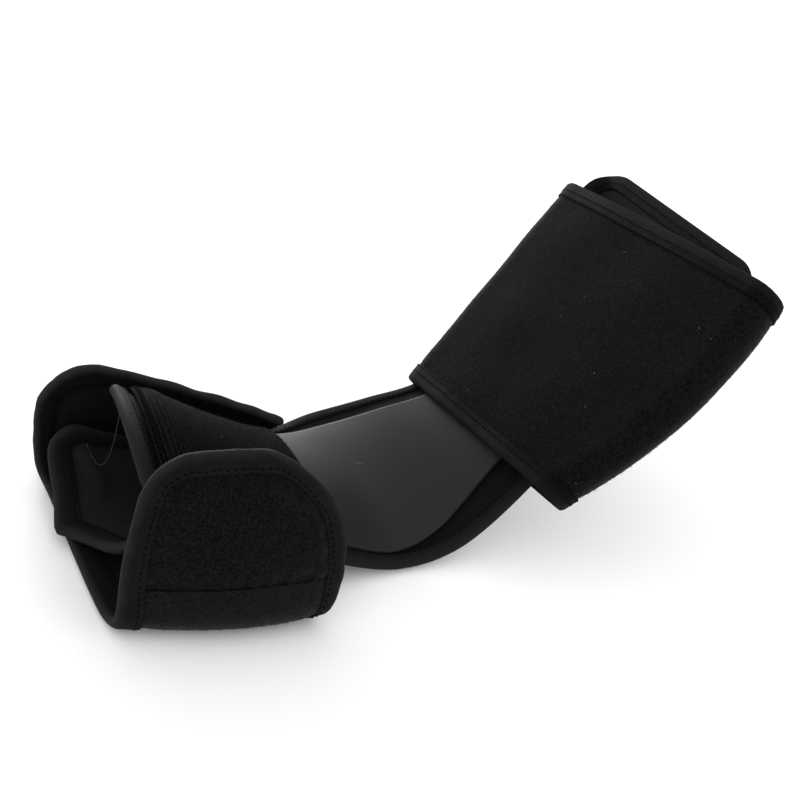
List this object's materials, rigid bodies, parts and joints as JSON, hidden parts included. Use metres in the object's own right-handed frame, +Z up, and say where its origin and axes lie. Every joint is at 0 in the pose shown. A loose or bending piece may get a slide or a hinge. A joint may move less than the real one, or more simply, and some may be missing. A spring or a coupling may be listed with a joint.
{
  "type": "plantar fasciitis night splint",
  "caption": "Soft dorsal night splint lying outer side up: a padded body bent at the ankle with a rigid plate, a wrap-round foot cuff and a flattened calf cuff, all edges bound with tape.",
  "frame": {"origin": "on the floor under the middle of the bounding box", "axes": "+X from the toe end towards the leg end, +Y towards the far side, +Z up"},
  "size_m": [0.3624, 0.1866, 0.1717],
  "materials": {
    "plush": "black brushed loop pile",
    "lining": "black smooth knit over foam",
    "binding_tape": "black ribbed tape",
    "shell_plastic": "dark grey smooth matte"
  },
  "bodies": {
    "root": {"body_pad": "lining", "body_binding": "binding_tape", "shell_plate": "shell_plastic", "foot_panel": "plush", "foot_wrap_outer": "plush", "foot_wrap_outer_binding": "binding_tape", "foot_wrap_inner": "lining", "foot_wrap_inner_binding": "binding_tape", "calf_wrap": "plush", "calf_wrap_binding": "binding_tape", "calf_back_flap": "lining", "calf_back_flap_binding": "binding_tape"}
  },
  "joints": []
}
